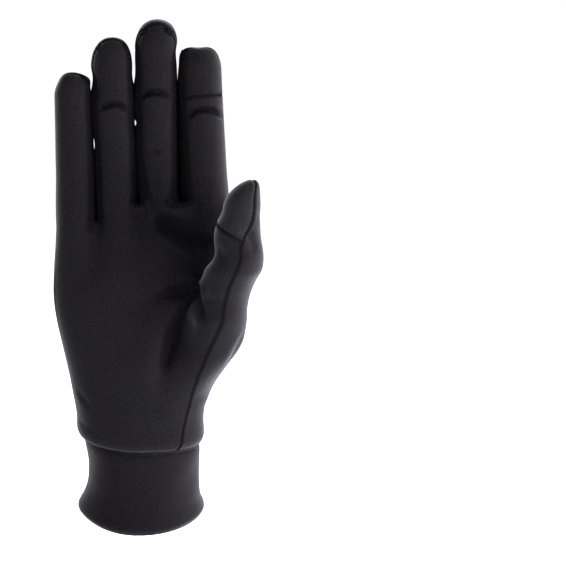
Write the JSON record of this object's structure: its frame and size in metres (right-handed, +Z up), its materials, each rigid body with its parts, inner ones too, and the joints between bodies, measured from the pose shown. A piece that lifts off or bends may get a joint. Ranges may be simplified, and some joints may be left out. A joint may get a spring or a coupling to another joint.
{
  "type": "glove liner",
  "caption": "Thin stretch-knit glove liner for a right hand, in its worn form, with side strips between the fingers, touch patches on index finger and thumb, and a plain cuff.",
  "frame": {"origin": "middle of the cuff's mouth, where the wrist goes in", "axes": "+Z up along the hand to the fingertips, -Y out of the palm, +X to the thumb's side"},
  "size_m": [0.0939, 0.0695, 0.2351],
  "materials": {
    "jersey": "matt fine jersey",
    "touch_jersey": "matt conductive jersey",
    "cuff_knit": "matt doubled jersey"
  },
  "bodies": {
    "root": {"palm_panel": "jersey", "back_panel": "jersey", "fourchette_index_middle": "jersey", "fourchette_middle_ring": "jersey", "fourchette_ring_little": "jersey", "thumb_panel": "jersey", "index_touch_tip": "touch_jersey", "thumb_touch_tip": "touch_jersey", "cuff_band": "cuff_knit"}
  },
  "joints": []
}
